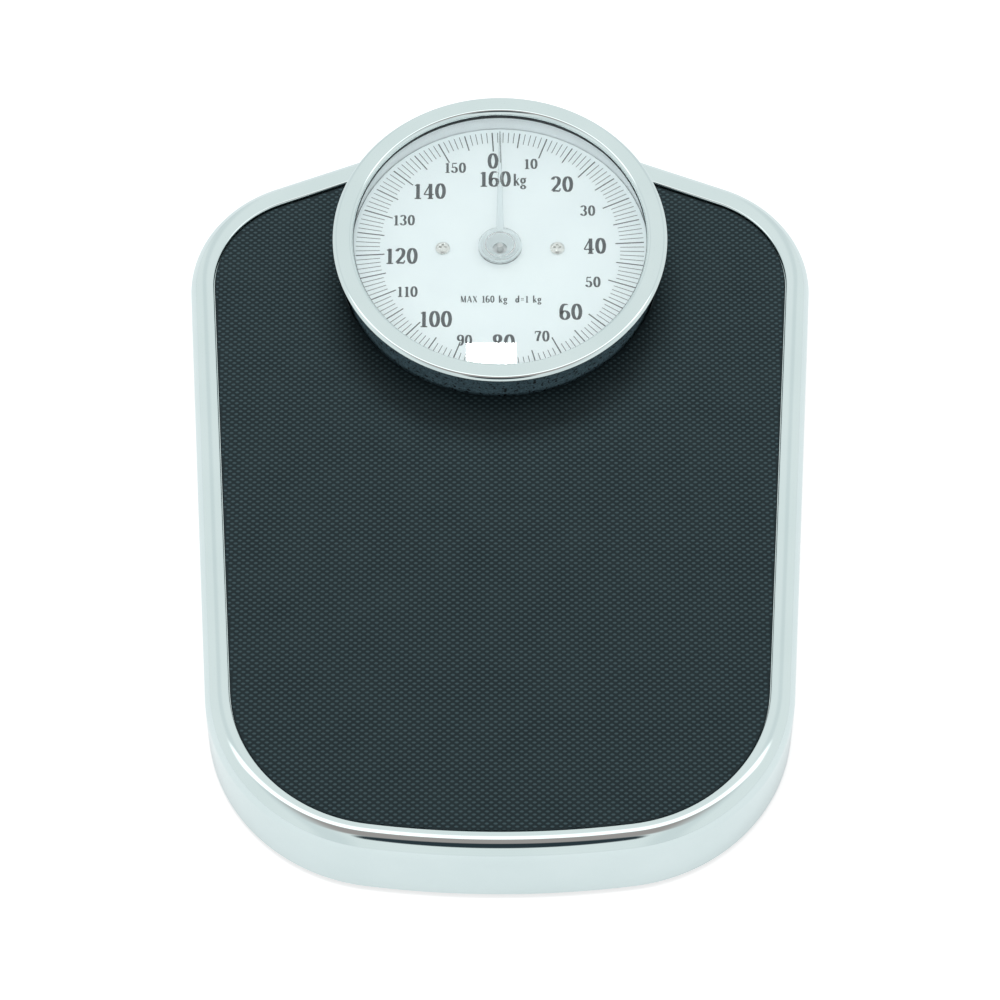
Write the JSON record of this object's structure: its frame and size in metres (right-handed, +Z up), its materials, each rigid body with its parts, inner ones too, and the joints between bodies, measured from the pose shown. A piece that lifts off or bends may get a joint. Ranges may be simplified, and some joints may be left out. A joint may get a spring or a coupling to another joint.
{
  "type": "mechanical platform scale",
  "caption": "Low platform scale with a chromed rim, ribbed mat and raised round dial at the back, with levers, springs, rack and pointer inside.",
  "frame": {"origin": "on the floor under the middle of the platform's bounding box", "axes": "+Z up, -Y to the front where a person steps on, +X to that person's right"},
  "size_m": [0.3144, 0.4268, 0.0735],
  "materials": {
    "chrome": "polished chrome plate",
    "mat_rubber": "matt, fine raised pips",
    "crinkle_black": "black crinkle paint",
    "card_white": "matt white with grey print",
    "ring_white": "satin",
    "clear_lens": "clear, polished",
    "clear_plastic": "clear, polished",
    "zinc_steel": "zinc plated",
    "pan_paint": "dark grey paint",
    "spring_steel": "oiled wire",
    "brass": "machined",
    "foot_rubber": "matt",
    "wheel_plastic": "moulded, ribbed edge"
  },
  "bodies": {
    "base": {"base_pan": "pan_paint", "foot_front_left": "foot_rubber", "foot_front_right": "foot_rubber", "foot_rear_left": "foot_rubber", "foot_rear_right": "foot_rubber", "fulcrum_bracket_front_left": "zinc_steel", "fulcrum_bracket_front_right": "zinc_steel", "fulcrum_bracket_rear_left": "zinc_steel", "fulcrum_bracket_rear_right": "zinc_steel", "bracket_rivet_front_left": "zinc_steel", "bracket_rivet_front_right": "zinc_steel", "bracket_rivet_rear_left": "zinc_steel", "bracket_rivet_rear_right": "zinc_steel", "crank_bracket": "zinc_steel", "crank_bracket_rivet": "zinc_steel", "crank_pin": "zinc_steel", "dial_bracket": "zinc_steel", "bracket_screw_left": "zinc_steel", "bracket_screw_right": "zinc_steel", "adjust_pin": "zinc_steel", "dial_housing": "crinkle_black", "dial_card": "card_white", "card_screw_left": "zinc_steel", "card_screw_right": "zinc_steel", "spacer_ring": "ring_white", "lens": "clear_lens", "bezel": "chrome", "shaft_bush": "brass", "rack_guide": "zinc_steel", "main_spring_left": "spring_steel", "main_spring_right": "spring_steel"},
    "platform": {"platform_cover": "chrome", "platform_mat": "mat_rubber", "load_bearing_front_left": "zinc_steel", "load_bearing_front_right": "zinc_steel", "load_bearing_rear_left": "zinc_steel", "load_bearing_rear_right": "zinc_steel"},
    "long_lever": {"long_lever": "zinc_steel", "front_fulcrum_shaft": "zinc_steel", "front_load_shaft": "zinc_steel", "link_pin_left": "zinc_steel", "link_pin_right": "zinc_steel"},
    "short_lever_left": {"short_lever_left": "zinc_steel", "rear_fulcrum_pin_left": "zinc_steel", "rear_load_pin_left": "zinc_steel"},
    "short_lever_right": {"short_lever_right": "zinc_steel", "rear_fulcrum_pin_right": "zinc_steel", "rear_load_pin_right": "zinc_steel"},
    "spring_yoke": {"spring_yoke": "zinc_steel"},
    "bell_crank": {"bell_crank": "zinc_steel"},
    "rack": {"rack": "brass"},
    "pointer": {"pointer": "clear_plastic", "pointer_cap": "clear_plastic", "pointer_shaft": "zinc_steel", "pinion": "brass"},
    "zero_adjuster": {"zero_screw": "zinc_steel", "zero_wheel": "wheel_plastic"},
    "adjust_plate": {"adjust_plate": "zinc_steel"}
  },
  "joints": [
    {"name": "platform_sink", "type": "slide", "parent": "base", "child": "platform", "axis": [0, 0, -1], "range_m": [0, 0.0012], "stiffness_N_per_m": 40000, "springref_m": -0.0015},
    {"name": "long_lever_tilt", "type": "hinge", "parent": "base", "child": "long_lever", "pos_m": [0, -0.15, 0.031], "axis": [-1, 0, 0], "range_deg": [0, 2.86]},
    {"name": "short_lever_left_tilt", "type": "hinge", "parent": "base", "child": "short_lever_left", "pos_m": [-0.115, 0.1, 0.031], "axis": [1, 0, 0], "range_deg": [0, 2.86]},
    {"name": "short_lever_right_tilt", "type": "hinge", "parent": "base", "child": "short_lever_right", "pos_m": [0.115, 0.1, 0.031], "axis": [1, 0, 0], "range_deg": [0, 2.86]},
    {"name": "yoke_slide", "type": "slide", "parent": "base", "child": "spring_yoke", "axis": [0, 0, -1], "range_m": [0, 0.01225], "deforming": ["main_spring_left", "main_spring_right"]},
    {"name": "crank_turn", "type": "hinge", "parent": "base", "child": "bell_crank", "pos_m": [0.01125, 0.12069, 0.0193], "axis": [1, 0, 0], "range_deg": [0, 41.34]},
    {"name": "rack_slide", "type": "slide", "parent": "base", "child": "rack", "axis": [0, -1, 0], "range_m": [0, 0.01885]},
    {"name": "pointer_turn", "type": "hinge", "parent": "base", "child": "pointer", "pos_m": [0, 0.124, 0.0598], "axis": [0, 0, -1], "range_deg": [0, 360]},
    {"name": "zero_turn", "type": "hinge", "parent": "base", "child": "zero_adjuster", "pos_m": [0, 0.19, 0.0045], "axis": [0, 0, 1], "range_deg": [-540, 540]},
    {"name": "adjust_tilt", "type": "hinge", "parent": "base", "child": "adjust_plate", "pos_m": [0, 0.14, 0.0448], "axis": [1, 0, 0], "range_deg": [-1.38, 1.38], "deforming": ["main_spring_left", "main_spring_right"]}
  ],
  "couplings": [
    {"joint": "long_lever_tilt", "follows": "platform_sink", "rad_per_m": 41.667},
    {"joint": "short_lever_left_tilt", "follows": "platform_sink", "rad_per_m": 41.667},
    {"joint": "short_lever_right_tilt", "follows": "platform_sink", "rad_per_m": 41.667},
    {"joint": "yoke_slide", "follows": "platform_sink", "ratio": 10.208},
    {"joint": "crank_turn", "follows": "platform_sink", "rad_per_m": 601.27},
    {"joint": "rack_slide", "follows": "platform_sink", "ratio": 15.708},
    {"joint": "pointer_turn", "follows": "platform_sink", "rad_per_m": 5236},
    {"joint": "adjust_tilt", "follows": "zero_turn", "ratio": -0.0025465}
  ]
}
